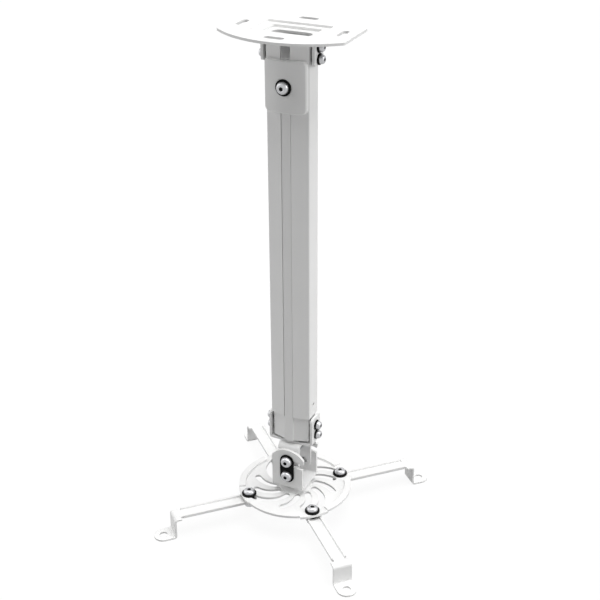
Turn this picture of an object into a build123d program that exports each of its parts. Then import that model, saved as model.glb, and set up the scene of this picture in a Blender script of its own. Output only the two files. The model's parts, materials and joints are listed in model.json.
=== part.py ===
from build123d import *
import math
import os

# Ceiling mount for a projector: a pressed ceiling plate, a telescoping steel column with a clamp,
# a tilting knuckle and a slotted disc that carries four cranked arms.
# Origin at the centre of the ceiling plate's top face, +Z up, +X to the right, the clamp on -Y. Millimetres.

# How far a cutting shape passes the face that it cuts through
CUT = 1.0

# Running clearances between pieces that move on each other
FACE_GAP = 0.05
PIN_GAP = 0.05
SLOT_GAP = 0.25
COLUMN_GAP = 0.3

# Ceiling plate
PLATE_SHEET = 2.0
PLATE_LENGTH = 101.0
PLATE_END_WIDTH = 42.0
PLATE_WIDTH = 82.0
PLATE_CORNER = 3.0
PAN_LENGTH = 53.0
PAN_WIDTH = 31.6
PAN_DEPTH = 1.7
PAN_CORNER = 2.0
WINDOW_LENGTH = 39.5
WINDOW_WIDTH = 20.8
FIXING_PITCH_X = 80.0
FIXING_PITCH_Y = 60.0
FIXING_SLOT_LENGTH = 16.0
FIXING_SLOT_WIDTH = 5.5

# Sheet brackets at the two ends of the column
BRACKET_SHEET = 2.0
BRACKET_BEND = 3.0
EAR_WIDTH = 16.0
EAR_CORNER = 3.0
TOP_EAR_OFFSET = 2.1
TOP_WEB_WIDTH = 26.0
TOP_EAR_LENGTH = 21.0
CABLE_SLOT_LENGTH = 32.0
CABLE_SLOT_WIDTH = 10.0
FOOT_EAR_OFFSET = 1.9
FOOT_EAR_LENGTH = 26.0
LEVEL_ANGLE = 5.0

# Column section
COLUMN_WIDTH = 35.0
COLUMN_SIDE = 16.0
COLUMN_DEPTH = 24.0
COLUMN_WALL = 1.3
COLUMN_EDGE = 1.2
SLOT_WIDTH = 8.0
OUTER_TOP_GAP = 1.4
OUTER_LENGTH = 318.0
INNER_WALL = 1.2
INNER_TOP_SET = 19.0
INNER_SHOW = 23.0
RIB_WIDTH = 7.4
RIB_RECESS = 0.3
FOOT_WEB_GAP = 2.0
SIDE_HOLE_RADIUS = 1.5
SIDE_HOLE_UP = 10.5

# Clamp on the column's front
CAP_WIDTH = 34.0
CAP_HEIGHT = 39.5
CAP_SIDE_DEPTH = 12.0
CAP_CROWN = 3.5
CAP_CORNER = 3.5
CAP_EDGE = 0.8
CAP_ABOVE_INNER = 5.5
CAP_SEAT_DEPTH = 0.6
NUT_PLATE_WIDTH = 14.0
NUT_PLATE_HEIGHT = 16.0
NUT_PLATE_THICK = 4.0

# Button heads, as shares of a head's own radius and height
BUTTON_RIM = 0.25
BUTTON_SHOULDER = (0.86, 0.68)
BUTTON_CROWN = 0.58
SOCKET_FLOOR = 0.4

# M4 side screws
M4_RADIUS = 2.0
M4_HEAD_RADIUS = 3.6
M4_HEAD = 3.5
M4_SOCKET = 1.25
M4_WASHER_RADIUS = 4.3
M4_WASHER = 1.0
M4_NUT_FLATS = 7.0
M4_NUT = 3.2
M4_TAIL = 0.8
SCREW_PITCH = 9.0
TOP_SCREW_DROP = 4.4
FOOT_SCREW_DROP = 9.0

# M5 bolts of the clamp, the tilt joint and the arms
M5_RADIUS = 2.5
M5_HEAD_RADIUS = 4.75
M5_HEAD = 3.5
M5_SOCKET = 1.5
M5_WASHER_RADIUS = 6.2
M5_WASHER = 1.2
M5_NUT_FLATS = 8.0
M5_NUT = 4.7
M5_TAIL = 1.0

# M6 bolts of the knuckle and the swivel
M6_RADIUS = 3.0
M6_HEAD_RADIUS = 5.25
M6_HEAD = 3.3
M6_SOCKET = 2.0
M6_NUT_FLATS = 10.0
M6_NUT = 6.0
M6_TAIL = 1.0

# Knuckle under the foot bracket
KNUCKLE_SHEET = 2.3
KNUCKLE_WIDTH = 19.0
KNUCKLE_DEPTH = 26.4
KNUCKLE_BEND = 4.5
KNUCKLE_TIP_ROUND = 6.0
KNUCKLE_BELOW_LOCK = 6.8
TILT_DROP = 14.7
LOCK_DROP = 14.5
TILT_ANGLE = 15.0

# Clevis that hangs on the tilt bolt
CLEVIS_SHEET = 2.5
CLEVIS_WIDTH = 28.0
CLEVIS_BEND = 4.0
CLEVIS_BELOW_TILT = 28.3
CLEVIS_SHOULDER = 3.7
CLEVIS_CHAMFER = 4.6
CLEVIS_CROWN = 10.7
CLEVIS_TIP_OUT = 1.0
CLEVIS_TIP_UP = 3.4
HOOK_WIDTH = 5.4
HOOK_SLOPE = 12.5
PLATE_WASHER_WIDTH = 12.5
PLATE_WASHER = 1.0

# Swivel and slotted disc
DISC_SHEET = 2.0
DISC_RADIUS = 48.5
DISC_BOSS_RADIUS = 11.5
DISC_BOSS_SLOPE = 3.0
DISC_BOSS_HEIGHT = 3.0
SWIVEL_WASHER_RADIUS = 10.5
SWIVEL_WASHER = 2.0
SWIVEL_SEAT_RADIUS = 8.0
SWIVEL_SEAT = 1.2
RIM_RADIUS = 43.0
RIM_LIFT = 1.4
RIM_SPAN = 60.0
GROOVE_LAND = 0.5
GROOVE_WIDTH = 0.7
GROOVE_DEPTH = 0.5

# Curved slots of the disc: points of the centreline as distance from the axis and angle from the arm's bolt
CURVE_START = (18.0, 46.0)
CURVE_MIDDLE = (30.0, 29.0)
CURVE_SHORT = 34.0
CURVE_COUNT = 12
ARM_CIRCLE = 42.0
ARM_TURN = 45.0
ARM_NAMES = ("right", "rear", "left", "front")
ARM_STEP = 360 / len(ARM_NAMES)

# Arms
ARM_SHEET = 1.5
ARM_WIDTH = 12.5
ARM_FLANGE = 3.2
ARM_SPACER_RADIUS = 4.5
ARM_SPACER = 3.0
ARM_BEND = 1.6
FLANGE_START = 3.0
FLANGE_END = 60.0
NOTCH_LENGTH = 2.0
NOTCH_DEPTH = 1.6
TAB_WIDTH = 16.0
RISER_OUT = 68.5
RISER_BEND = 3.0
ARM_DROP = 18.9
FOOT_HOLE_OUT = 77.0
FOOT_HOLE_RADIUS = 3.4


# Levels, from the ceiling down
PAN_FLOOR = -PAN_DEPTH
TOP_WEB = PAN_FLOOR - PLATE_SHEET
TOP_WEB_UNDER = TOP_WEB - BRACKET_SHEET
OUTER_TOP = TOP_WEB_UNDER - OUTER_TOP_GAP
OUTER_FOOT = OUTER_TOP - OUTER_LENGTH
TOP_PIVOT = OUTER_TOP - TOP_SCREW_DROP
TOP_LOCK = TOP_PIVOT - SCREW_PITCH
INNER_TOP = OUTER_TOP - INNER_TOP_SET
INNER_FOOT = OUTER_FOOT - INNER_SHOW
FOOT_PIVOT = OUTER_FOOT - FOOT_SCREW_DROP
FOOT_LOCK = FOOT_PIVOT - SCREW_PITCH
FOOT_WEB = INNER_FOOT - FOOT_WEB_GAP
KNUCKLE_TOP = FOOT_WEB - BRACKET_SHEET
KNUCKLE_UNDER = KNUCKLE_TOP - KNUCKLE_SHEET
TILT_PIVOT = KNUCKLE_TOP - TILT_DROP
TILT_LOCK = TILT_PIVOT - LOCK_DROP
CLEVIS_FOOT = TILT_PIVOT - CLEVIS_BELOW_TILT
CLEVIS_FLOOR = CLEVIS_FOOT + CLEVIS_SHEET
BOSS_TOP = CLEVIS_FOOT - SWIVEL_WASHER
DISC_TOP = BOSS_TOP - DISC_BOSS_HEIGHT
DISC_UNDER = DISC_TOP - DISC_SHEET
ARM_TOP = DISC_UNDER - FACE_GAP - ARM_SPACER - FACE_GAP
ARM_UNDER = ARM_TOP - ARM_SHEET
ARM_FOOT = ARM_TOP - ARM_DROP
CLAMP_TOP = INNER_TOP + CAP_ABOVE_INNER
CLAMP_MIDDLE = CLAMP_TOP - CAP_HEIGHT / 2

# Half widths that several pieces share
COLUMN_HALF = COLUMN_WIDTH / 2
TOP_EAR_INNER = COLUMN_HALF + TOP_EAR_OFFSET
TOP_EAR_OUTER = TOP_EAR_INNER + BRACKET_SHEET
INNER_INSET = COLUMN_WALL + COLUMN_GAP
INNER_HALF = COLUMN_HALF - INNER_INSET
FOOT_EAR_INNER = INNER_HALF + FOOT_EAR_OFFSET
FOOT_EAR_OUTER = FOOT_EAR_INNER + BRACKET_SHEET
KNUCKLE_OUTER = KNUCKLE_DEPTH / 2
CLEVIS_OUTER = KNUCKLE_OUTER + FACE_GAP + CLEVIS_SHEET
PLATE_WASHER_FACE = CLEVIS_OUTER + PLATE_WASHER


# Shared shapes
def block(x_low, x_high, y_low, y_high, z_low, z_high):
    centre = Pos((x_low + x_high) / 2, (y_low + y_high) / 2, (z_low + z_high) / 2)
    return centre * Box(x_high - x_low, y_high - y_low, z_high - z_low)


def prism(sketch, z_low, z_high):
    return extrude(Pos(0, 0, z_low) * sketch, z_high - z_low)


def across_x(sketch, x_low, x_high):
    """Sketch drawn with Y across and Z up, made solid from x_low to x_high."""
    return extrude(Plane.YZ.offset(x_low) * sketch, x_high - x_low)


def across_y(sketch, y_low, y_high):
    """Sketch drawn with X across and Z up, made solid from y_low to y_high."""
    return extrude(Plane.XZ.offset(-y_high) * sketch, y_high - y_low)


def bar_x(radius, x_low, x_high, y, z):
    return across_x(Pos(y, z) * Circle(radius), x_low, x_high)


def bar_y(radius, y_low, y_high, x, z):
    return across_y(Pos(x, z) * Circle(radius), y_low, y_high)


def bar_z(radius, z_low, z_high, x=0.0, y=0.0):
    return prism(Pos(x, y) * Circle(radius), z_low, z_high)


def u_section(half_width, sheet, web, tip, bend):
    """U of bent sheet: the web's outer face at height web, the two legs ending at height tip."""
    inward = 1 if tip > web else -1
    inner = half_width - sheet
    points = [(-half_width, tip), (-half_width, web), (half_width, web), (half_width, tip)]
    points += [(inner, tip), (inner, web + inward * sheet), (-inner, web + inward * sheet), (-inner, tip)]
    face = make_face(Polyline(*points, close=True))
    outer_corners = [v for v in face.vertices() if abs(v.Y - web) < sheet / 4]
    face = fillet(outer_corners, bend)
    inner_level = web + inward * sheet
    level_ones = [v for v in face.vertices() if abs(v.Y - inner_level) < sheet / 4]
    inner_corners = [v for v in level_ones if abs(abs(v.X) - inner) < sheet / 4]
    return fillet(inner_corners, bend - sheet)


def screw(radius, length, head_radius, head, socket):
    """Button-head screw on the Z axis, its head's seat at z = 0 and the head above it."""
    shoulder = (head_radius * BUTTON_SHOULDER[0], head * BUTTON_SHOULDER[1])
    points = [(0, -length), (radius, -length), (radius, 0), (head_radius, 0)]
    points += [(head_radius, head * BUTTON_RIM), shoulder, (head_radius * BUTTON_CROWN, head), (0, head)]
    body = revolve(Plane.XZ * make_face(Polyline(*points, close=True)), Axis.Z)
    return body - prism(RegularPolygon(socket, 6, major_radius=False), head * SOCKET_FLOOR, head + CUT)


def m5_bolt(length):
    return screw(M5_RADIUS, length, M5_HEAD_RADIUS, M5_HEAD, M5_SOCKET)


def m6_bolt(length):
    return screw(M6_RADIUS, length, M6_HEAD_RADIUS, M6_HEAD, M6_SOCKET)


def washer(radius, hole, thick):
    """Flat ring on the Z axis, standing on z = 0."""
    return bar_z(radius, 0, thick) - bar_z(hole, -CUT, thick + CUT)


def nut(flats, hole, thick):
    """Hexagon nut on the Z axis, standing on z = 0."""
    body = prism(Rot(0, 0, 90) * RegularPolygon(flats / 2, 6, major_radius=False), 0, thick)
    return body - bar_z(hole, -CUT, thick + CUT)


def outwards_x(side, x, z):
    """Place for a piece on the Z axis: turned to point away from the column along X."""
    return Pos(side * x, 0, z) * Rot(0, side * 90, 0)


def forwards(x, y, z):
    """Place for a piece on the Z axis: turned to point to the front, along -Y."""
    return Pos(x, y, z) * Rot(90, 0, 0)


def backwards(x, y, z):
    return Pos(x, y, z) * Rot(-90, 0, 0)


# Ceiling plate: flat ends, bowed long edges and a pressed pan with a window in its floor
def plate_outline():
    half_x = PLATE_LENGTH / 2
    half_end = PLATE_END_WIDTH / 2
    half_y = PLATE_WIDTH / 2
    edges = [
        Line((-half_x, half_end), (-half_x, -half_end)),
        ThreePointArc((-half_x, -half_end), (0, -half_y), (half_x, -half_end)),
        Line((half_x, -half_end), (half_x, half_end)),
        ThreePointArc((half_x, half_end), (0, half_y), (-half_x, half_end)),
    ]
    face = make_face(edges)
    return fillet(face.vertices(), PLATE_CORNER)


def ceiling_plate():
    outer_length, outer_width = PAN_LENGTH + 2 * PLATE_SHEET, PAN_WIDTH + 2 * PLATE_SHEET
    pan_outer = RectangleRounded(outer_length, outer_width, PAN_CORNER + PLATE_SHEET)
    pan_inner = RectangleRounded(PAN_LENGTH, PAN_WIDTH, PAN_CORNER)
    body = prism(plate_outline(), -PLATE_SHEET, 0) + prism(pan_outer, TOP_WEB, 0)
    body -= prism(pan_inner, PAN_FLOOR, CUT)
    body -= prism(RectangleRounded(WINDOW_LENGTH, WINDOW_WIDTH, PAN_CORNER), TOP_WEB - CUT, CUT)
    slot = SlotOverall(FIXING_SLOT_LENGTH, FIXING_SLOT_WIDTH)
    for side in (-1, 1):
        body -= prism(Pos(side * FIXING_PITCH_X / 2, 0) * Rot(0, 0, 90) * slot, TOP_WEB - CUT, CUT)
        body -= prism(Pos(0, side * FIXING_PITCH_Y / 2) * slot, TOP_WEB - CUT, CUT)
    return body


# Brackets: a pivot hole and a levelling slot in each ear
def level_holes(pivot, lock):
    travel = 2 * SCREW_PITCH * math.sin(math.radians(LEVEL_ANGLE))
    slot = SlotOverall(travel + 2 * (M4_RADIUS + SLOT_GAP), 2 * (M4_RADIUS + SLOT_GAP))
    return Pos(0, pivot) * Circle(M4_RADIUS + PIN_GAP) + Pos(0, lock) * slot


def top_bracket():
    tip = TOP_WEB - TOP_EAR_LENGTH
    section = u_section(TOP_EAR_OUTER, BRACKET_SHEET, TOP_WEB, tip, BRACKET_BEND)
    sheet = across_y(section, -TOP_WEB_WIDTH / 2, TOP_WEB_WIDTH / 2)
    ears = fillet(Rectangle(EAR_WIDTH, TOP_EAR_LENGTH).vertices().group_by(Axis.Y)[0], EAR_CORNER)
    keep = across_x(Pos(0, (TOP_WEB + tip) / 2) * ears, -TOP_EAR_OUTER, TOP_EAR_OUTER)
    web_half = TOP_EAR_OUTER - BRACKET_BEND
    keep += block(-web_half, web_half, -TOP_WEB_WIDTH / 2, TOP_WEB_WIDTH / 2, TOP_WEB_UNDER, TOP_WEB)
    body = sheet & keep
    body -= prism(SlotOverall(CABLE_SLOT_LENGTH, CABLE_SLOT_WIDTH), TOP_WEB_UNDER - CUT, TOP_WEB + CUT)
    return body - across_x(level_holes(TOP_PIVOT, TOP_LOCK), -TOP_EAR_OUTER - CUT, TOP_EAR_OUTER + CUT)


def foot_bracket():
    tip = FOOT_WEB + FOOT_EAR_LENGTH - BRACKET_SHEET
    section = u_section(FOOT_EAR_OUTER, BRACKET_SHEET, KNUCKLE_TOP, tip, BRACKET_BEND)
    sheet = across_y(section, -EAR_WIDTH / 2, EAR_WIDTH / 2)
    height = tip - KNUCKLE_TOP
    ears = fillet(Rectangle(EAR_WIDTH, height).vertices().group_by(Axis.Y)[-1], EAR_CORNER)
    body = sheet & across_x(Pos(0, (tip + KNUCKLE_TOP) / 2) * ears, -FOOT_EAR_OUTER, FOOT_EAR_OUTER)
    body -= across_x(level_holes(FOOT_PIVOT, FOOT_LOCK), -FOOT_EAR_OUTER - CUT, FOOT_EAR_OUTER + CUT)
    return body - bar_z(M6_RADIUS + PIN_GAP, KNUCKLE_TOP - CUT, FOOT_WEB + CUT)


# Column: two nested sheet sections with sloping front and back flanks
def column_outline(inset):
    half = COLUMN_WIDTH / 2
    side = COLUMN_SIDE / 2
    ridge = COLUMN_DEPTH / 2
    lip = SLOT_WIDTH / 2
    right = [(lip, -ridge), (half, -side), (half, side), (lip, ridge)]
    left = [(-x, y) for x, y in reversed(right)]
    face = make_face(Polyline(*right, *left, close=True))
    if inset == 0:
        return fillet([v for v in face.vertices() if abs(v.X) > lip + 1], COLUMN_EDGE)
    return offset(face, -inset, kind=Kind.INTERSECTION)


def flank_depth(x, inset):
    """How far in front of the column's axis a flank lies at x, for a section inset by a wall."""
    slope = (COLUMN_DEPTH - COLUMN_SIDE) / (COLUMN_WIDTH - SLOT_WIDTH)
    return COLUMN_SIDE / 2 + (COLUMN_HALF - x) * slope - inset * math.hypot(1, slope)


def side_holes(heights, half_width):
    holes = [Pos(0, z) * Circle(M4_RADIUS + PIN_GAP) for z in heights]
    return across_x(Sketch() + holes, -half_width - CUT, half_width + CUT)


def outer_column():
    section = column_outline(0) - column_outline(COLUMN_WALL)
    section -= Pos(0, -COLUMN_DEPTH / 2) * Rectangle(SLOT_WIDTH, 2 * COLUMN_WALL + COLUMN_GAP)
    body = prism(section, OUTER_FOOT, OUTER_TOP) - side_holes((TOP_PIVOT, TOP_LOCK), COLUMN_HALF)
    return body - bar_x(SIDE_HOLE_RADIUS, 0, COLUMN_HALF + CUT, 0, OUTER_FOOT + SIDE_HOLE_UP)


def rib(width, recess):
    front = COLUMN_DEPTH / 2 - recess
    return Pos(0, -front / 2) * Rectangle(width, front)


def inner_column():
    outside = column_outline(INNER_INSET) + rib(RIB_WIDTH, RIB_RECESS)
    inside = column_outline(INNER_INSET + INNER_WALL)
    inside += rib(RIB_WIDTH - 2 * INNER_WALL, RIB_RECESS + INNER_WALL)
    body = prism(outside - inside, INNER_FOOT, INNER_TOP) - side_holes((FOOT_PIVOT, FOOT_LOCK), INNER_HALF)
    return body - bar_y(M5_RADIUS + PIN_GAP, -COLUMN_DEPTH, 0, 0, CLAMP_MIDDLE)


# Clamp: a curved cap whose back follows the column's flanks, its screw, washer and nut plate
def cap_front():
    return CAP_SIDE_DEPTH + CAP_CROWN


def clamp_cap():
    half = CAP_WIDTH / 2
    edges = [
        ThreePointArc((-half, -CAP_SIDE_DEPTH), (0, -cap_front()), (half, -CAP_SIDE_DEPTH)),
        Line((half, -CAP_SIDE_DEPTH), (half, 0)),
        Line((half, 0), (-half, 0)),
        Line((-half, 0), (-half, -CAP_SIDE_DEPTH)),
    ]
    section = make_face(edges) - column_outline(-COLUMN_GAP)
    body = prism(section, CLAMP_TOP - CAP_HEIGHT, CLAMP_TOP)
    face = Pos(0, CLAMP_MIDDLE) * RectangleRounded(CAP_WIDTH, CAP_HEIGHT, CAP_CORNER)
    body &= across_y(face, -cap_front() - CUT, 0)
    front = body.faces().sort_by(lambda f: f.bounding_box().min.Y)[0]
    body = chamfer(front.edges(), CAP_EDGE)
    seat = CAP_SEAT_DEPTH - cap_front()
    body -= bar_y(M5_WASHER_RADIUS + SLOT_GAP, -cap_front() - CUT, seat, 0, CLAMP_MIDDLE)
    return body - bar_y(M5_RADIUS + PIN_GAP, -cap_front() - CUT, 0, 0, CLAMP_MIDDLE)


def clamp_pieces():
    seat = -cap_front() + CAP_SEAT_DEPTH
    head = seat - M5_WASHER
    plate_front = -flank_depth(NUT_PLATE_WIDTH / 2, INNER_INSET + INNER_WALL) + PIN_GAP
    plate_back = plate_front + NUT_PLATE_THICK
    half_x = NUT_PLATE_WIDTH / 2
    half_z = NUT_PLATE_HEIGHT / 2
    plate = block(-half_x, half_x, plate_front, plate_back, CLAMP_MIDDLE - half_z, CLAMP_MIDDLE + half_z)
    bolt = m5_bolt(plate_back + M5_TAIL - head)
    ring = washer(M5_WASHER_RADIUS, M5_RADIUS + PIN_GAP, M5_WASHER)
    return {
        "clamp_cap": clamp_cap(),
        "clamp_screw": forwards(0, head, CLAMP_MIDDLE) * bolt,
        "clamp_washer": forwards(0, seat, CLAMP_MIDDLE) * ring,
        "clamp_nut_plate": plate - bar_y(M5_RADIUS, plate_front - CUT, plate_back + CUT, 0, CLAMP_MIDDLE),
    }


# Side screws: two on each side of an end bracket, through the ear, a spacer and the column's wall
def side_fixings(name, heights, ear_outer, wall_outer, wall):
    washer_seat = ear_outer + FACE_GAP
    head_seat = washer_seat + M4_WASHER
    spacer_length = ear_outer - BRACKET_SHEET - FACE_GAP - wall_outer
    nut_end = wall_outer - wall - M4_NUT
    length = head_seat - nut_end + M4_TAIL
    one_screw = screw(M4_RADIUS, length, M4_HEAD_RADIUS, M4_HEAD, M4_SOCKET)
    one_washer = washer(M4_WASHER_RADIUS, M4_RADIUS + PIN_GAP, M4_WASHER)
    one_spacer = washer(M4_WASHER_RADIUS, M4_RADIUS + PIN_GAP, spacer_length)
    one_nut = nut(M4_NUT_FLATS, M4_RADIUS, M4_NUT)
    sets = {"screws": [], "washers": [], "spacers": [], "nuts": []}
    for side in (-1, 1):
        for z in heights:
            sets["screws"].append(outwards_x(side, head_seat, z) * one_screw)
            sets["washers"].append(outwards_x(side, washer_seat, z) * one_washer)
            sets["spacers"].append(outwards_x(side, wall_outer, z) * one_spacer)
            sets["nuts"].append(outwards_x(side, nut_end, z) * one_nut)
    return {name + "_" + kind: Compound(children=solids) for kind, solids in sets.items()}


# Knuckle: a U of sheet bolted under the foot bracket, its ears in front and behind
def tilt_slot():
    """Slot that the lock bolt travels in, about the tilt bolt."""
    arc = CenterArc((0, TILT_PIVOT), LOCK_DROP, -90 - TILT_ANGLE, 2 * TILT_ANGLE)
    return SlotArc(arc, 2 * (M5_RADIUS + SLOT_GAP))


def tilt_knuckle():
    tip = TILT_LOCK - KNUCKLE_BELOW_LOCK
    half_x = KNUCKLE_WIDTH / 2
    section = u_section(KNUCKLE_OUTER, KNUCKLE_SHEET, KNUCKLE_TOP, tip, KNUCKLE_BEND)
    sheet = across_x(section, -half_x, half_x)
    height = KNUCKLE_TOP - tip
    ear = fillet(Rectangle(KNUCKLE_WIDTH, height).vertices().group_by(Axis.Y)[0], KNUCKLE_TIP_ROUND)
    body = sheet & across_y(Pos(0, (KNUCKLE_TOP + tip) / 2) * ear, -KNUCKLE_OUTER, KNUCKLE_OUTER)
    holes = Pos(0, TILT_PIVOT) * Circle(M5_RADIUS + PIN_GAP) + tilt_slot()
    body -= across_y(holes, -KNUCKLE_OUTER - CUT, KNUCKLE_OUTER + CUT)
    return body - bar_z(M6_RADIUS + PIN_GAP, KNUCKLE_UNDER - CUT, KNUCKLE_TOP + CUT)


def knuckle_pieces():
    length = FOOT_WEB - KNUCKLE_UNDER + M6_NUT + M6_TAIL
    return {
        "tilt_knuckle": tilt_knuckle(),
        "knuckle_bolt": Pos(0, 0, FOOT_WEB) * m6_bolt(length),
        "knuckle_nut": Pos(0, 0, KNUCKLE_UNDER - M6_NUT) * nut(M6_NUT_FLATS, M6_RADIUS, M6_NUT),
    }


# Clevis: a U of sheet whose ears hook over the tilt bolt through an open slot
def clevis_ear():
    half = CLEVIS_WIDTH / 2
    shoulder = (-half, TILT_PIVOT + CLEVIS_SHOULDER)
    crown_start = (-half + CLEVIS_CHAMFER, TILT_PIVOT + CLEVIS_SHOULDER + CLEVIS_CHAMFER)
    crown = (0, TILT_PIVOT + CLEVIS_CROWN)
    tip = (half + CLEVIS_TIP_OUT, TILT_PIVOT + CLEVIS_TIP_UP)
    edges = [
        Line((half, CLEVIS_FOOT), (-half, CLEVIS_FOOT)),
        Line((-half, CLEVIS_FOOT), shoulder),
        Line(shoulder, crown_start),
        ThreePointArc(crown_start, crown, tip),
        Line(tip, (half, TILT_PIVOT - HOOK_WIDTH)),
        Line((half, TILT_PIVOT - HOOK_WIDTH), (half, CLEVIS_FOOT)),
    ]
    face = make_face(edges)
    tip_corner = face.vertices().sort_by(Axis.X)[-1]
    face = fillet(tip_corner, CLEVIS_TIP_OUT)
    hook_length = 2 * (half + HOOK_WIDTH)
    hook = Pos(hook_length / 2, 0) * SlotCenterToCenter(hook_length, HOOK_WIDTH)
    return face - Pos(0, TILT_PIVOT) * Rot(0, 0, -HOOK_SLOPE) * hook


def tilt_clevis():
    half_x = CLEVIS_WIDTH / 2 + CLEVIS_TIP_OUT
    crown = TILT_PIVOT + CLEVIS_CROWN + CUT
    section = u_section(CLEVIS_OUTER, CLEVIS_SHEET, CLEVIS_FOOT, crown, CLEVIS_BEND)
    body = across_x(section, -half_x, half_x) & across_y(clevis_ear(), -CLEVIS_OUTER, CLEVIS_OUTER)
    body -= bar_y(M5_RADIUS + PIN_GAP, -CLEVIS_OUTER - CUT, CLEVIS_OUTER + CUT, 0, TILT_LOCK)
    return body - bar_z(M6_RADIUS + PIN_GAP, CLEVIS_FOOT - CUT, CLEVIS_FLOOR + CUT)


def plate_washer():
    """Black plate under both tilt bolts, drawn with X across and Z up."""
    middle = (TILT_PIVOT + TILT_LOCK) / 2
    shape = Pos(0, middle) * Rot(0, 0, 90) * SlotCenterToCenter(LOCK_DROP, PLATE_WASHER_WIDTH)
    shape -= Pos(0, TILT_PIVOT) * Circle(M5_RADIUS + PIN_GAP)
    return shape - Pos(0, TILT_LOCK) * Circle(M5_RADIUS + PIN_GAP)


def tilt_bolt(z, gap):
    """Bolt and nut along Y through both ears, gap clear of the plates under them."""
    seat = PLATE_WASHER_FACE + gap
    bolt = forwards(0, -seat, z) * m5_bolt(2 * seat + M5_NUT + M5_TAIL)
    return bolt, backwards(0, seat, z) * nut(M5_NUT_FLATS, M5_RADIUS, M5_NUT)


def tilt_pieces():
    pivot_bolt, pivot_nut = tilt_bolt(TILT_PIVOT, FACE_GAP)
    lock_bolt, lock_nut = tilt_bolt(TILT_LOCK, 0)
    return {
        "tilt_clevis": tilt_clevis(),
        "front_washer_plate": across_y(plate_washer(), -PLATE_WASHER_FACE, -CLEVIS_OUTER),
        "rear_washer_plate": across_y(plate_washer(), CLEVIS_OUTER, PLATE_WASHER_FACE),
        "pivot_bolt": pivot_bolt,
        "pivot_nut": pivot_nut,
        "lock_bolt": lock_bolt,
        "lock_nut": lock_nut,
    }


# Swivel: a bolt through the clevis, a plastic washer and the disc's boss
def swivel_pieces():
    hole = M6_RADIUS + PIN_GAP
    seat_top = BOSS_TOP - DISC_SHEET - FACE_GAP
    nut_top = seat_top - SWIVEL_SEAT
    bolt = m6_bolt(CLEVIS_FLOOR - nut_top + M6_NUT + M6_TAIL)
    ring = washer(SWIVEL_WASHER_RADIUS, hole, SWIVEL_WASHER - FACE_GAP)
    return {
        "swivel_bolt": Pos(0, 0, CLEVIS_FLOOR) * bolt,
        "swivel_washer": Pos(0, 0, BOSS_TOP + FACE_GAP) * ring,
        "swivel_seat": Pos(0, 0, nut_top) * washer(SWIVEL_SEAT_RADIUS, hole, SWIVEL_SEAT),
        "swivel_nut": Pos(0, 0, nut_top - M6_NUT) * nut(M6_NUT_FLATS, M6_RADIUS, M6_NUT),
    }


# Disc: a raised boss, a rim pressed up between the arms, and a wheel of curved slots
def polar(radius, degrees):
    return (radius * math.cos(math.radians(degrees)), radius * math.sin(math.radians(degrees)))


def curve_to(end):
    """Centreline of the slot that an arm's bolt on the +X axis runs in."""
    return ThreePointArc(polar(*CURVE_START), polar(*CURVE_MIDDLE), end)


def curve_angle(distance):
    """Angle at which that centreline lies a given distance from the disc's axis."""
    whole = curve_to((ARM_CIRCLE, 0))
    centre = whole.arc_center
    reach = math.hypot(centre.X, centre.Y)
    cosine = (distance ** 2 + reach ** 2 - whole.radius ** 2) / (2 * distance * reach)
    return math.degrees(math.atan2(centre.Y, centre.X) + math.acos(cosine))


def curved_slot(distance):
    """Slot as wide as its bolt needs, ending a given distance from the disc's axis."""
    line = curve_to(polar(distance, curve_angle(distance)))
    return SlotArc(line, 2 * (M5_RADIUS + SLOT_GAP))


def disc_side():
    """Half section of the disc's sheet without its rim: distance from the axis across, Z up."""
    slope = DISC_BOSS_RADIUS + DISC_BOSS_SLOPE
    thin = DISC_SHEET * (math.sqrt(2) - 1)
    hole = M6_RADIUS + PIN_GAP
    points = [(hole, BOSS_TOP), (DISC_BOSS_RADIUS, BOSS_TOP), (slope, DISC_TOP), (DISC_RADIUS, DISC_TOP)]
    points += [(DISC_RADIUS, DISC_UNDER), (slope - thin, DISC_UNDER)]
    points += [(DISC_BOSS_RADIUS - thin, BOSS_TOP - DISC_SHEET), (hole, BOSS_TOP - DISC_SHEET)]
    return make_face(Polyline(*points, close=True))


def rim_sector(inner, outer):
    """Sector of a ring, centred on the +X axis, as wide as one stretch of the rim."""
    reach = 2 * DISC_RADIUS
    wedge = make_face(Polyline((0, 0), polar(reach, -RIM_SPAN / 2), polar(reach, RIM_SPAN / 2), close=True))
    return (Circle(outer) - Circle(inner)) & wedge


def arm_plate():
    body = revolve(Plane.XZ * disc_side(), Axis.Z)
    rim = rim_sector(RIM_RADIUS, DISC_RADIUS)
    groove_outer = RIM_RADIUS - GROOVE_LAND
    groove = rim_sector(groove_outer - GROOVE_WIDTH, groove_outer)
    for index in range(len(ARM_NAMES)):
        turn = Rot(0, 0, ARM_STEP * index)
        body -= turn * prism(rim, DISC_UNDER - CUT, DISC_UNDER + RIM_LIFT)
        body += turn * prism(rim, DISC_UNDER + RIM_LIFT, DISC_TOP + RIM_LIFT)
        body -= turn * prism(groove, DISC_TOP - GROOVE_DEPTH, DISC_TOP + CUT)
    for index in range(CURVE_COUNT):
        holds_arm = index % (CURVE_COUNT // len(ARM_NAMES)) == 0
        slot = curved_slot(ARM_CIRCLE if holds_arm else CURVE_SHORT)
        turn = Rot(0, 0, ARM_TURN + 360 * index / CURVE_COUNT)
        body -= turn * prism(slot, DISC_UNDER - CUT, DISC_TOP + CUT)
    return body


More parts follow.
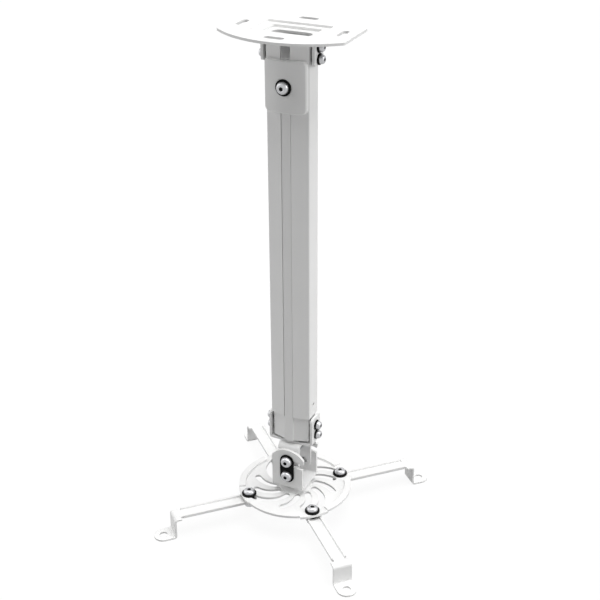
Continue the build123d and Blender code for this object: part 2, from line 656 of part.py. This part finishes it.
# Arms: an upward channel from the disc, a flat tab cranked down to a round foot
def arm_side():
    """Side view of the bent strip, drawn with the distance from the arm's bolt across and Z up."""
    start = -ARM_WIDTH / 2
    end = FOOT_HOLE_OUT + TAB_WIDTH / 2
    inner = RISER_OUT - ARM_SHEET
    foot_top = ARM_FOOT + ARM_SHEET
    points = [(start, ARM_TOP), (RISER_OUT, ARM_TOP), (RISER_OUT, foot_top), (end, foot_top)]
    points += [(end, ARM_FOOT), (inner, ARM_FOOT), (inner, ARM_UNDER), (start, ARM_UNDER)]
    face = make_face(Polyline(*points, close=True))
    tight = RISER_BEND - ARM_SHEET
    outer_bends = [(RISER_OUT, ARM_TOP, RISER_BEND), (inner, ARM_FOOT, RISER_BEND)]
    inner_bends = [(inner, ARM_UNDER, tight), (RISER_OUT, foot_top, tight)]
    for x, z, radius in outer_bends + inner_bends:
        corner = [v for v in face.vertices() if math.hypot(v.X - x, v.Y - z) < ARM_SHEET / 4]
        face = fillet(corner, radius)
    return face


def arm_plan():
    """Flat outline of the arm, seen from above, its bolt at the origin and its foot along +X."""
    tab_start = FLANGE_END + NOTCH_LENGTH
    outline = Circle(ARM_WIDTH / 2) + Pos(FLANGE_END / 2, 0) * Rectangle(FLANGE_END, ARM_WIDTH)
    neck = Pos((FLANGE_END + tab_start) / 2, 0) * Rectangle(2 * NOTCH_LENGTH, ARM_WIDTH - 2 * NOTCH_DEPTH)
    tab_length = FOOT_HOLE_OUT - tab_start
    outline += neck + Pos(tab_start + tab_length / 2, 0) * Rectangle(tab_length, TAB_WIDTH)
    outline += Pos(FOOT_HOLE_OUT, 0) * Circle(TAB_WIDTH / 2)
    return outline


def arm():
    strip = across_y(arm_side(), -TAB_WIDTH / 2, TAB_WIDTH / 2)
    strip &= prism(arm_plan(), ARM_FOOT - CUT, ARM_TOP + CUT)
    section = u_section(ARM_WIDTH / 2, ARM_SHEET, ARM_UNDER, ARM_UNDER + ARM_FLANGE, ARM_BEND)
    channel = across_x(section, FLANGE_START, FLANGE_END)
    corners = block(FLANGE_START, FLANGE_END, -ARM_WIDTH, ARM_WIDTH, ARM_UNDER - CUT, ARM_TOP + CUT)
    strip = (strip - corners) + channel
    strip -= bar_z(FOOT_HOLE_RADIUS, ARM_FOOT - CUT, ARM_FOOT + ARM_SHEET + CUT, FOOT_HOLE_OUT)
    return strip - bar_z(M5_RADIUS + PIN_GAP, ARM_UNDER - CUT, ARM_TOP + CUT)


def arm_pieces():
    washer_seat = DISC_TOP + FACE_GAP
    head_seat = washer_seat + M5_WASHER
    nut_top = ARM_UNDER - FACE_GAP
    hole = M5_RADIUS + PIN_GAP
    pieces = {
        "arm": arm(),
        "arm_bolt": Pos(0, 0, head_seat) * m5_bolt(head_seat - nut_top + M5_NUT + M5_TAIL),
        "arm_washer": Pos(0, 0, washer_seat) * washer(M5_WASHER_RADIUS, hole, M5_WASHER),
        "arm_spacer": Pos(0, 0, ARM_TOP + FACE_GAP) * washer(ARM_SPACER_RADIUS, hole, ARM_SPACER),
        "arm_nut": Pos(0, 0, nut_top - M5_NUT) * nut(M5_NUT_FLATS, M5_RADIUS, M5_NUT),
    }
    placed = {}
    for index, side in enumerate(ARM_NAMES):
        place = Rot(0, 0, ARM_TURN + ARM_STEP * index) * Pos(ARM_CIRCLE, 0, 0)
        for name, solid in pieces.items():
            placed[name + "_" + side] = place * solid
    return placed


# The whole mount
def ceiling_mount():
    parts = {
        "ceiling_plate": ceiling_plate(),
        "top_bracket": top_bracket(),
        "outer_column": outer_column(),
        "inner_column": inner_column(),
        "foot_bracket": foot_bracket(),
        "arm_plate": arm_plate(),
    }
    top_screws, foot_screws = (TOP_PIVOT, TOP_LOCK), (FOOT_PIVOT, FOOT_LOCK)
    parts.update(side_fixings("top", top_screws, TOP_EAR_OUTER, COLUMN_HALF, COLUMN_WALL))
    parts.update(side_fixings("foot", foot_screws, FOOT_EAR_OUTER, INNER_HALF, INNER_WALL))
    parts.update(clamp_pieces())
    parts.update(knuckle_pieces())
    parts.update(tilt_pieces())
    parts.update(swivel_pieces())
    parts.update(arm_pieces())
    return parts


os.makedirs("parts", exist_ok=True)
for node, shape in ceiling_mount().items():
    export_step(shape, "parts/" + node + ".step")

print("pivots", TOP_PIVOT, FOOT_PIVOT, TILT_PIVOT, "disc", DISC_TOP, "arm", ARM_TOP, "foot", ARM_FOOT)
print("column", INNER_TOP, INNER_FOOT, "clamp", CLAMP_MIDDLE)
print("slot circle", curve_to((ARM_CIRCLE, 0)).arc_center, curve_to((ARM_CIRCLE, 0)).radius)
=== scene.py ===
# %% [markdown]
# # Dressing a projector ceiling mount
#
# The mount hangs a projector under a ceiling. It is bent and pressed steel with a white powder coat,
# held together by zinc plated button-head screws on black plastic washers.
# The solids come in already packed, each in its real place, and this script gives them their looks.
# The box of the bare solids is kept, and its lowest point sets the floor's height.

# %% Load the frame
import json
import math

import bmesh
import bpy
from mathutils import Matrix, Vector


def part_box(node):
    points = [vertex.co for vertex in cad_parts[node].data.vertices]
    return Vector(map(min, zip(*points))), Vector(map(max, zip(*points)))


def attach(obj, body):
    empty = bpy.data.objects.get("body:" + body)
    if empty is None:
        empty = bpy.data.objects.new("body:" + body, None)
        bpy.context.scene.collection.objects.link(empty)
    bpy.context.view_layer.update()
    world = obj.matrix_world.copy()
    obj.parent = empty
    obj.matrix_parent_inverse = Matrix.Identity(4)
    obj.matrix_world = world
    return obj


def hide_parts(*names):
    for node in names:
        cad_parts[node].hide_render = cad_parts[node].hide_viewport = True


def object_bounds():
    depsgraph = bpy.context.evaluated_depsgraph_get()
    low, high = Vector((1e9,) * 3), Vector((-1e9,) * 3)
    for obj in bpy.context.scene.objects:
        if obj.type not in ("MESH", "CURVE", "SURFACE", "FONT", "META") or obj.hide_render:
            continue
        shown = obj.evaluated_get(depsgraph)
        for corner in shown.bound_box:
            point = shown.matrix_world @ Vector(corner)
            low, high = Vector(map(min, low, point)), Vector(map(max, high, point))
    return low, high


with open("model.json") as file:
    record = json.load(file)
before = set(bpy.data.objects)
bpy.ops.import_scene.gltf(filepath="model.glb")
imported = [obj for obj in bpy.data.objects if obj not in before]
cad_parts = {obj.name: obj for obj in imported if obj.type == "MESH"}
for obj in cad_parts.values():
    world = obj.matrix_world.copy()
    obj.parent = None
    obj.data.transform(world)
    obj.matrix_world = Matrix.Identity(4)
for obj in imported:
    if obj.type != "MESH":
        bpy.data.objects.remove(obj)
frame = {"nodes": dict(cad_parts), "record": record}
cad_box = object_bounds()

MM = 0.001
nodes = frame["nodes"]

# %% [markdown]
# ## Where the camera stands
#
# The photograph looks down on the mount from its front, a little to the right of the clamp.
# The camera was found by fitting a pinhole camera to points of the plate, the column and the disc.
# It is described by the way a photographer would set it up: how far away, how high, and how it is tilted.

# %% Camera
PICTURE_WIDTH = 600
SENSOR_WIDTH = 36.0
FOCAL_PIXELS = 1227.2
CAMERA_AZIMUTH = math.radians(25.17)
CAMERA_DISTANCE = 877.0 * MM
CAMERA_HEIGHT = 229.4 * MM
CAMERA_PITCH = math.radians(27.17)
CAMERA_YAW = math.radians(-0.325)
CAMERA_ROLL = math.radians(-0.268)


def camera_axes():
    """Right, up and backward directions of the camera, as the columns of its rotation."""
    turn = CAMERA_AZIMUTH + CAMERA_YAW
    level = Vector((-math.sin(turn), math.cos(turn), 0))
    forward = level * math.cos(CAMERA_PITCH) - Vector((0, 0, math.sin(CAMERA_PITCH)))
    flat_right = forward.cross(Vector((0, 0, 1))).normalized()
    flat_up = flat_right.cross(forward)
    right = flat_right * math.cos(CAMERA_ROLL) + flat_up * math.sin(CAMERA_ROLL)
    up = flat_up * math.cos(CAMERA_ROLL) - flat_right * math.sin(CAMERA_ROLL)
    return Matrix((right, up, -forward)).transposed()


def add_camera():
    lens = bpy.data.cameras.new("photo_camera")
    lens.sensor_width = SENSOR_WIDTH
    lens.lens = FOCAL_PIXELS * SENSOR_WIDTH / PICTURE_WIDTH
    camera = bpy.data.objects.new("photo_camera", lens)
    x = math.sin(CAMERA_AZIMUTH) * CAMERA_DISTANCE
    y = -math.cos(CAMERA_AZIMUTH) * CAMERA_DISTANCE
    camera.matrix_world = Matrix.Translation((x, y, CAMERA_HEIGHT)) @ camera_axes().to_4x4()
    bpy.context.scene.collection.objects.link(camera)
    bpy.context.scene.camera = camera
    return camera


camera = add_camera()
print("lens", round(camera.data.lens, 1), "mm at", [round(v, 3) for v in camera.location])

# %% [markdown]
# ## Shader maths that reads like maths
#
# A material is a graph of nodes, and building one by hand is long-winded.
# A small class wraps an output socket, so that adding or multiplying two wires adds the Math node.
# One method makes every other kind of node, from its settings and the values or wires of its sockets.

# %% Wires between nodes
class Wire:
    """An output socket of a material's graph."""

    def __init__(self, tree, socket=None):
        self.tree = tree
        self.socket = socket

    def node(self, kind, settings, inputs, output=0):
        made = self.tree.nodes.new(kind)
        for name, value in settings.items():
            if name == "stops":
                for stop, (position, level) in zip(made.color_ramp.elements, value):
                    stop.position = position
                    stop.color = (level, level, level, 1)
            else:
                setattr(made, name, value)
        for name, value in inputs.items():
            if isinstance(value, Wire):
                self.tree.links.new(value.socket, made.inputs[name])
            else:
                made.inputs[name].default_value = value
        return Wire(self.tree, made.outputs[output] if made.outputs else None)

    def math(self, operation, first, second):
        return self.node("ShaderNodeMath", {"operation": operation}, {0: first, 1: second})

    def __add__(self, other):
        return self.math("ADD", self, other)

    def __radd__(self, other):
        return self.math("ADD", other, self)

    def __sub__(self, other):
        return self.math("SUBTRACT", self, other)

    def __rsub__(self, other):
        return self.math("SUBTRACT", other, self)

    def __mul__(self, other):
        return self.math("MULTIPLY", self, other)

    def __rmul__(self, other):
        return self.math("MULTIPLY", other, self)


def blend_colours(factor, low, high):
    """Colour between low and high, by a wire that runs from 0 to 1."""
    return factor.node("ShaderNodeMix", {"data_type": "RGBA"}, {0: factor, 6: low, 7: high}, output=2)


def grey(level):
    return (level, level, level, 1)


def noise(place, size, detail=2):
    """Cloudy pattern of about the given size in metres, from 0 to 1 with most of it near the middle."""
    settings = {"noise_dimensions": "3D"}
    return place.node("ShaderNodeTexNoise", settings, {"Vector": place, "Scale": 1 / size, "Detail": detail})


print("sums and products of wires are Math nodes")

# %% [markdown]
# ## The sky
#
# The photograph was made in a white tent. Whatever the camera or a mirror-like path meets is plain white,
# but the sky lights the mount only a little, so that the lamps below can shape it.

# %% Sky
SKY_FILL = 0.11


def is_seen(wire):
    """1 for rays from the camera and for mirror-like and clear paths, otherwise 0."""
    path = wire.tree.nodes.new("ShaderNodeLightPath").outputs
    seen = Wire(wire.tree, path["Is Camera Ray"]) + Wire(wire.tree, path["Is Glossy Ray"])
    seen = seen + Wire(wire.tree, path["Is Transmission Ray"])
    return wire.math("MINIMUM", seen, 1.0)


def make_sky():
    world = bpy.data.worlds.new("white_sky")
    world.use_nodes = True
    bpy.context.scene.world = world
    tree = world.node_tree
    start = Wire(tree)
    strength = SKY_FILL + is_seen(start) * (1 - SKY_FILL)
    background = tree.nodes["Background"]
    background.inputs["Color"].default_value = grey(1)
    tree.links.new(strength.socket, background.inputs["Strength"])
    return world


make_sky()
bpy.context.scene.view_settings.view_transform = "Standard"
print("sky fill", SKY_FILL)

# %% [markdown]
# ## The lamps
#
# The tops are nearly white and the disc has hardly any shadow on it, so most of the light is a wide lamp
# almost overhead. The column's right side is light too, from a weaker panel low on the right, and a third
# lamp on the left keeps the left flank lighter than the ridge.

# %% Lamps
# Each lamp: strength, width, height above the floor and turn from +X, in degrees
LAMPS = {
    "overhead_lamp": (2.80, 50, 82, 0),
    "right_panel": (1.25, 40, 20, 10),
    "left_panel": (0.85, 50, 25, -160),
}


def add_lamp(name, strength, width, height, turn):
    lamp = bpy.data.lights.new(name, "SUN")
    lamp.energy = strength
    lamp.angle = math.radians(width)
    sun = bpy.data.objects.new(name, lamp)
    level = math.cos(math.radians(height))
    across = Vector((math.cos(math.radians(turn)), math.sin(math.radians(turn)), 0)) * level
    towards = across + Vector((0, 0, math.sin(math.radians(height))))
    sun.rotation_euler = towards.to_track_quat("Z", "Y").to_euler()
    bpy.context.scene.collection.objects.link(sun)
    return sun


for lamp_name, values in LAMPS.items():
    add_lamp(lamp_name, *values)
print("lamps", list(LAMPS))

# %% [markdown]
# ## The floor
#
# The floor is white to the camera, with a soft shadow under the arms. It gives back less light than it seems
# to, which keeps the undersides and the inside of the clevis from turning as white as the tops.

# %% Floor
FLOOR_REACH = 5.0
FLOOR_GREY = 0.42
FLOOR_GLOW = 0.92


def floor_material():
    material = bpy.data.materials.new("white_floor")
    material.use_nodes = True
    tree = material.node_tree
    tree.nodes.clear()
    start = Wire(tree)
    seen = is_seen(start)
    colour = blend_colours(seen, grey(FLOOR_GREY), grey(1))
    matte = start.node("ShaderNodeBsdfDiffuse", {}, {"Color": colour})
    glow = start.node("ShaderNodeEmission", {}, {"Color": grey(1), "Strength": 1.0})
    mixed = start.node("ShaderNodeMixShader", {}, {0: seen * FLOOR_GLOW, 1: matte, 2: glow})
    start.node("ShaderNodeOutputMaterial", {}, {"Surface": mixed})
    return material


def add_floor():
    mesh = bmesh.new()
    level = Matrix.Translation((0, 0, cad_box[0][2]))
    bmesh.ops.create_grid(mesh, x_segments=1, y_segments=1, size=FLOOR_REACH, matrix=level)
    data = bpy.data.meshes.new("floor")
    mesh.to_mesh(data)
    mesh.free()
    data.materials.append(floor_material())
    floor = bpy.data.objects.new("floor", data)
    bpy.context.scene.collection.objects.link(floor)
    return floor


add_floor()
print("floor at", round(cad_box[0][2], 4))

# %% [markdown]
# ## White powder coat
#
# Powder is sprayed dry and melted on, which leaves a satin skin with a faint orange peel.
# The peel is a fine bump, the colour drifts a little over each sheet, and gloss drifts with it.
# The melted powder also rounds every sheared edge, which the shader does by bending the normal there.

# %% White coat
COAT_LIGHT = (0.90, 0.90, 0.895, 1)
COAT_DARK = (0.84, 0.84, 0.835, 1)
COAT_DRIFT = 35 * MM
COAT_PEEL = 0.9 * MM
COAT_SPECK = 0.25 * MM
COAT_EDGE = 0.3 * MM


def new_material(name):
    """Material with a bare graph: the wire to start from and its shader node."""
    material = bpy.data.materials.new(name)
    material.use_nodes = True
    tree = material.node_tree
    shader = tree.nodes["Principled BSDF"]
    place = Wire(tree).node("ShaderNodeTexCoord", {}, {}, output=3)
    return material, place, shader


def feed(wire, shader, socket):
    wire.tree.links.new(wire.socket, shader.inputs[socket])


def white_coat():
    material, place, shader = new_material("white_coat")
    drift = noise(place, COAT_DRIFT, 3)
    peel = noise(place, COAT_PEEL)
    speck = noise(place, COAT_SPECK)
    feed(blend_colours(drift * 0.8 + speck * 0.2, COAT_DARK, COAT_LIGHT), shader, "Base Color")
    feed(0.34 + drift * 0.12 + speck * 0.06, shader, "Roughness")
    height = peel * 0.8 + speck * 0.2
    edge = place.node("ShaderNodeBevel", {"samples": 6}, {"Radius": COAT_EDGE})
    depth = {"Strength": 0.25, "Distance": 0.05 * MM, "Height": height, "Normal": edge}
    bump = place.node("ShaderNodeBump", {}, depth)
    feed(bump, shader, "Normal")
    return material


FINISHES = {"white_coat": white_coat()}
print("white coat drifts over", COAT_DRIFT / MM, "mm")

# %% [markdown]
# ## Zinc on the screws
#
# Zinc plate is a bright metal with a slightly cloudy, bluish finish. The clouds change both the
# brightness and the roughness, and fine turning marks catch the light.

# %% Zinc
ZINC_LIGHT = (0.60, 0.60, 0.61, 1)
ZINC_DARK = (0.38, 0.385, 0.40, 1)
ZINC_CLOUD = 2.5 * MM
ZINC_GRAIN = 0.12 * MM


def zinc_steel():
    material, place, shader = new_material("zinc_steel")
    cloud = noise(place, ZINC_CLOUD, 4)
    grain = noise(place, ZINC_GRAIN, 3)
    feed(blend_colours(cloud * 0.7 + grain * 0.3, ZINC_DARK, ZINC_LIGHT), shader, "Base Color")
    shader.inputs["Metallic"].default_value = 1.0
    feed(0.28 + cloud * 0.20 + grain * 0.06, shader, "Roughness")
    bump = place.node("ShaderNodeBump", {}, {"Strength": 0.2, "Distance": 0.02 * MM, "Height": grain})
    feed(bump, shader, "Normal")
    return material


FINISHES["zinc_steel"] = zinc_steel()
print("zinc clouds of", ZINC_CLOUD / MM, "mm")

# %% [markdown]
# ## Painted shade in the sockets
#
# A hexagon socket is a recess, and its shade is painted in as a nearly black colour with a faint mottle.

# %% Socket
# Painted shade for the inside of the hexagon sockets: nearly black, with a faint mottle
SOCKET_SHADE_LIGHT = (0.035, 0.034, 0.033, 1)
SOCKET_SHADE_DARK = (0.008, 0.008, 0.008, 1)
SOCKET_SHADE_MOTTLE = 0.6 * MM


def painted_socket_shade():
    material, place, shader = new_material("painted_socket_shade")
    shade_mottle = noise(place, SOCKET_SHADE_MOTTLE, 3)
    feed(blend_colours(shade_mottle, SOCKET_SHADE_DARK, SOCKET_SHADE_LIGHT), shader, "Base Color")
    feed(0.55 + shade_mottle * 0.3, shader, "Roughness")
    shader.inputs["Specular IOR Level"].default_value = 0.2
    return material


SOCKET_SHADE = painted_socket_shade()
print("painted socket shade, mottle of", SOCKET_SHADE_MOTTLE / MM, "mm")

# %% [markdown]
# ## Black washers
#
# The washers and spacers are moulded black plastic. A fine spark-eroded grain breaks up the gloss.

# %% Black plastic
BLACK_LIGHT = (0.005, 0.005, 0.005, 1)
BLACK_DARK = (0.001, 0.001, 0.001, 1)
BLACK_DRIFT = 4 * MM
BLACK_GRAIN = 0.2 * MM


def black_plastic():
    material, place, shader = new_material("black_plastic")
    drift = noise(place, BLACK_DRIFT)
    grain = noise(place, BLACK_GRAIN)
    feed(blend_colours(drift, BLACK_DARK, BLACK_LIGHT), shader, "Base Color")
    feed(0.50 + grain * 0.25, shader, "Roughness")
    shader.inputs["Specular IOR Level"].default_value = 0.08
    bump = place.node("ShaderNodeBump", {}, {"Strength": 0.35, "Distance": 0.03 * MM, "Height": grain})
    feed(bump, shader, "Normal")
    return material


FINISHES["black_plastic"] = black_plastic()
print("black grain of", BLACK_GRAIN / MM, "mm")

# %% [markdown]
# ## A finish for every solid
#
# The record names a material slot for each node. Each solid takes the finish of its slot,
# and its mesh stays exactly as it came.

# %% Each node takes the finish of its slot
slots = {row["node"]: row["material_slot"] for row in frame["record"]["subparts"]}

for name, node in nodes.items():
    node.data.materials.clear()
    node.data.materials.append(FINISHES[slots[name]])
print("finishes", sorted(FINISHES))

# %% [markdown]
# ## Domed screws
#
# The solids of the screws have heads in three straight steps. These pieces stand for them: a smooth dome
# with a hexagon socket, and ridges on the shank, which stand for the thread without its pitch.
# Each is a stack of rings, bridged from one to the next, drawn upright with the head's seat at zero.

# %% One screw
ROUND = 40
THREAD_PITCH = 0.8 * MM
THREAD_ROOT = 0.86
DOME_STEPS = 7
DOME_RIM = 0.22
DOME_CROWN = 0.52
SOCKET_FLOOR = 0.4
BELOW_CROWN = 0.99
# Head radius, head height, shank radius and half the socket's width across its flats, in millimetres
SCREW_SIZES = {"M4": (3.6, 3.5, 2.0, 1.25), "M5": (4.75, 3.5, 2.5, 1.5), "M6": (5.25, 3.3, 3.0, 2.0)}


def shank_rings(radius, length):
    """Ridged thread from the tip up to the head's seat."""
    rings = [(radius * THREAD_ROOT, -length)]
    turns = int(length / THREAD_PITCH) - 1
    for turn in range(turns):
        low = -length + (turn + 0.5) * THREAD_PITCH
        rings += [(radius, low), (radius * THREAD_ROOT, low + THREAD_PITCH / 2)]
    return rings + [(radius, -THREAD_PITCH / 2), (radius, 0)]


def dome_rings(radius, height):
    """Rim, then a quarter of an ellipse up to the flat crown."""
    rim, crown = height * DOME_RIM, radius * DOME_CROWN
    rings = [(radius, 0)]
    for step in range(DOME_STEPS + 1):
        turn = math.pi / 2 * step / DOME_STEPS
        rings.append((crown + (radius - crown) * math.cos(turn), rim + (height - rim) * math.sin(turn)))
    return rings


def screw_mesh(name, size, length):
    head_radius, head, radius, flats = (value * MM for value in SCREW_SIZES[size])
    corner = flats / math.cos(math.pi / 6)
    rings = [(r, z, ROUND) for r, z in shank_rings(radius, length) + dome_rings(head_radius, head)]
    rings += [(corner, head, 6), (corner, head * SOCKET_FLOOR, 6)]
    mesh = bmesh.new()
    loops = []
    for index, (r, z, sides) in enumerate(rings):
        capped = index in (0, len(rings) - 1)
        level = Matrix.Translation((0, 0, z))
        made = bmesh.ops.create_circle(mesh, cap_ends=capped, segments=sides, radius=r, matrix=level)
        loops.append({edge for vert in made["verts"] for edge in vert.link_edges})
    for low, high in zip(loops, loops[1:]):
        bmesh.ops.bridge_loops(mesh, edges=list(low | high))
    bmesh.ops.recalc_face_normals(mesh, faces=mesh.faces)
    for face in mesh.faces:
        face.smooth = len(face.verts) < ROUND
        middle = face.calc_center_median()
        # Faces inside the socket take the second finish, the painted shade of the recess
        if middle.xy.length < corner and 0 < middle.z < head * BELOW_CROWN:
            face.material_index = 1
            face.smooth = False
    data = bpy.data.meshes.new(name)
    mesh.to_mesh(data)
    mesh.free()
    return data


print("screw sizes", list(SCREW_SIZES))

# %% [markdown]
# ## Each screw in its place
#
# A screw is turned to where its solid lies. The seat of its head and the length of its shank come from
# the box of that solid, so a piece never leaves the place of what it replaces.

# %% Where each screw goes
OUT_RIGHT = Matrix.Rotation(math.radians(90), 4, "Y")
OUT_LEFT = Matrix.Rotation(math.radians(-90), 4, "Y")
FORWARD = Matrix.Rotation(math.radians(90), 4, "X")
UPRIGHT = Matrix.Identity(4)
SINGLE_SCREWS = {"clamp_screw": ("M5", FORWARD), "pivot_bolt": ("M5", FORWARD), "lock_bolt": ("M5", FORWARD),
                 "knuckle_bolt": ("M6", UPRIGHT), "swivel_bolt": ("M6", UPRIGHT)}
ARMS = ("right", "rear", "left", "front")
for arm in ARMS:
    SINGLE_SCREWS["arm_bolt_" + arm] = ("M5", UPRIGHT)
# Distance of the side screws' tips from the column's middle, in millimetres
SIDE_TIPS = {"top_screws": 12.2, "foot_screws": 10.7}
body_of_node = {}
for body, group in frame["record"]["behaviour"]["bodies"].items():
    for node in group:
        body_of_node[node] = body


def placed_together(name, parts):
    """One mesh from several, each moved to its place."""
    mesh = bmesh.new()
    for one, place in parts:
        one.transform(place)
        mesh.from_mesh(one)
        bpy.data.meshes.remove(one)
    data = bpy.data.meshes.new(name)
    mesh.to_mesh(data)
    mesh.free()
    return data


def stand_for(node, data, finishes):
    """Piece that rides with a node's body and stands for that node in the finished model."""
    for finish in finishes:
        data.materials.append(finish)
    piece = bpy.data.objects.new(data.name, data)
    bpy.context.scene.collection.objects.link(piece)
    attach(piece, body_of_node[node])
    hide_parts(node)
    return piece


def screws_for(node, size, places):
    """The domed screws of a node, from the place and length of each."""
    parts = [(screw_mesh(node + "_one", size, length), place) for place, length in places]
    # The second finish is the painted shade inside the sockets
    return stand_for(node, placed_together(node + "_domed", parts), (FINISHES["zinc_steel"], SOCKET_SHADE))


def single_place(node, size, turn):
    """Seat of the head and length of the shank, from the ends of the solid's box along the screw."""
    low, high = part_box(node)
    head = SCREW_SIZES[size][1] * MM
    middle = (low + high) / 2
    along = turn.to_3x3() @ Vector((0, 0, 1))
    whole = abs((high - low).dot(along))
    seat = middle + along * (whole / 2 - head)
    return Matrix.Translation(seat) @ turn, whole - head


def side_places(node):
    """The four M4 screws of an end bracket: two on each side of the column, one above the other."""
    low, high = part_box(node)
    head_radius, head = SCREW_SIZES["M4"][0] * MM, SCREW_SIZES["M4"][1] * MM
    seat = high.x - head
    length = seat - SIDE_TIPS[node] * MM
    places = []
    for z in (high.z - head_radius, low.z + head_radius):
        places.append((Matrix.Translation((seat, 0, z)) @ OUT_RIGHT, length))
        places.append((Matrix.Translation((-seat, 0, z)) @ OUT_LEFT, length))
    return places


for name, (size, turn) in SINGLE_SCREWS.items():
    screws_for(name, size, [single_place(name, size, turn)])
for name in SIDE_TIPS:
    screws_for(name, "M4", side_places(name))
print("screws", len(SINGLE_SCREWS) + 4 * len(SIDE_TIPS))

# %% [markdown]
# ## Chamfered nuts
#
# The corners of a nut are turned off at both ends, and its thread has a small countersunk mouth.
# Each level of a nut is a circle whose points are drawn in to the hexagon's sides or to the chamfer's cone,
# whichever lies nearer the axis. The levels are bridged outside and inside, which closes the nut
# into a ring.

# %% One nut
NUT_ROUND = 36
NUT_FACE = 0.475
NUT_SLOPE = math.tan(math.radians(30))
NUT_CHAMFER_STEPS = 3
NUT_MOUTH = 0.12
BORE_PLAY = 0.02 * MM
# Width across the flats, height and thread radius, in millimetres
NUT_SIZES = {"M4": (7.0, 3.2, 2.0), "M5": (8.0, 4.7, 2.5), "M6": (10.0, 6.0, 3.0)}


def hexagon_reach(flats, turn):
    """Distance from the axis to a side of the hexagon, which has a corner at 30 degrees."""
    off_flat = (turn + math.pi / 6) % (math.pi / 3) - math.pi / 6
    return flats / 2 / math.cos(off_flat)


def outer_levels(flats, height):
    """Radius of the chamfer's cone and height of each level, from the lower face to the upper one."""
    face = flats * NUT_FACE
    deep = (flats / math.sqrt(3) - face) * NUT_SLOPE
    lower = []
    for step in range(NUT_CHAMFER_STEPS + 1):
        depth = deep * step / NUT_CHAMFER_STEPS
        lower.append((face + depth / NUT_SLOPE, depth - height / 2))
    return lower + [(cone, -z) for cone, z in reversed(lower)]


def bore_levels(radius, height):
    """Radius and height of each level of the bore, from the upper mouth to the lower one."""
    bore, mouth = radius + BORE_PLAY, radius * NUT_MOUTH
    upper = [(bore + mouth, height / 2), (bore, height / 2 - mouth)]
    return upper + [(r, -z) for r, z in reversed(upper)]


def nut_mesh(name, size):
    flats, height, radius = (value * MM for value in NUT_SIZES[size])
    outside = outer_levels(flats, height)
    mesh = bmesh.new()
    loops = []
    for index, (reach, z) in enumerate(outside + bore_levels(radius, height)):
        level = Matrix.Translation((0, 0, z))
        made = bmesh.ops.create_circle(mesh, segments=NUT_ROUND, radius=reach, matrix=level)
        loops.append({edge for vert in made["verts"] for edge in vert.link_edges})
        if index < len(outside):
            for vert in made["verts"]:
                side = hexagon_reach(flats, math.atan2(vert.co.y, vert.co.x))
                vert.co.xy = vert.co.xy * min(1, side / reach)
    for low, high in zip(loops, loops[1:] + loops[:1]):
        bmesh.ops.bridge_loops(mesh, edges=list(low | high))
    bmesh.ops.recalc_face_normals(mesh, faces=mesh.faces)
    data = bpy.data.meshes.new(name)
    mesh.to_mesh(data)
    mesh.free()
    return data


print("nut sizes", list(NUT_SIZES))

# %% [markdown]
# ## Each nut in its place
#
# A nut lies in the middle of its solid's box, or beside the screw that it belongs to.
# The corner of the solid that lies furthest from the axis tells how far round the hexagon is turned.

# %% Where each nut goes
SINGLE_NUTS = {"pivot_nut": ("M5", FORWARD), "lock_nut": ("M5", FORWARD),
               "knuckle_nut": ("M6", UPRIGHT), "swivel_nut": ("M6", UPRIGHT)}
for arm in ARMS:
    SINGLE_NUTS["arm_nut_" + arm] = ("M5", UPRIGHT)
SIDE_NUTS = {"top_nuts": "top_screws", "foot_nuts": "foot_screws"}
CORNER = math.radians(30)
# A solid's points belong to this nut within this share of its width, which leaves out the nut beside it
HEXAGON_WITHIN = 0.6


def turned_to_solid(node, size, place):
    """The place with the nut turned about its axis, until its corners lie on those of the solid."""
    flats, height = (value * MM for value in NUT_SIZES[size][:2])
    back = place.inverted() @ nodes[node].matrix_world
    near = [back @ vert.co for vert in nodes[node].data.vertices]
    near = [point for point in near if abs(point.z) < height and point.xy.length < flats * HEXAGON_WITHIN]
    far = max(near, key=lambda point: round(point.xy.length, 6))
    return place @ Matrix.Rotation(math.atan2(far.y, far.x) - CORNER, 4, "Z")


def nuts_for(node, size, places):
    """The chamfered nuts of a node, from the place of each."""
    parts = [(nut_mesh(node + "_one", size), turned_to_solid(node, size, place)) for place in places]
    return stand_for(node, placed_together(node + "_chamfered", parts), (FINISHES["zinc_steel"],))


def side_nut_places(node, screws):
    """The four M4 nuts of an end bracket, each on the axis of its screw."""
    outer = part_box(node)[1].x
    low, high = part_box(screws)
    head_radius, half = SCREW_SIZES["M4"][0] * MM, NUT_SIZES["M4"][1] * MM / 2
    places = []
    for z in (high.z - head_radius, low.z + head_radius):
        places.append(Matrix.Translation((outer - half, 0, z)) @ OUT_RIGHT)
        places.append(Matrix.Translation((half - outer, 0, z)) @ OUT_LEFT)
    return places


for name, (size, turn) in SINGLE_NUTS.items():
    low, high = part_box(name)
    nuts_for(name, size, [Matrix.Translation((low + high) / 2) @ turn])
for name, screws in SIDE_NUTS.items():
    nuts_for(name, "M4", side_nut_places(name, screws))
print("nuts", len(SINGLE_NUTS) + 4 * len(SIDE_NUTS))
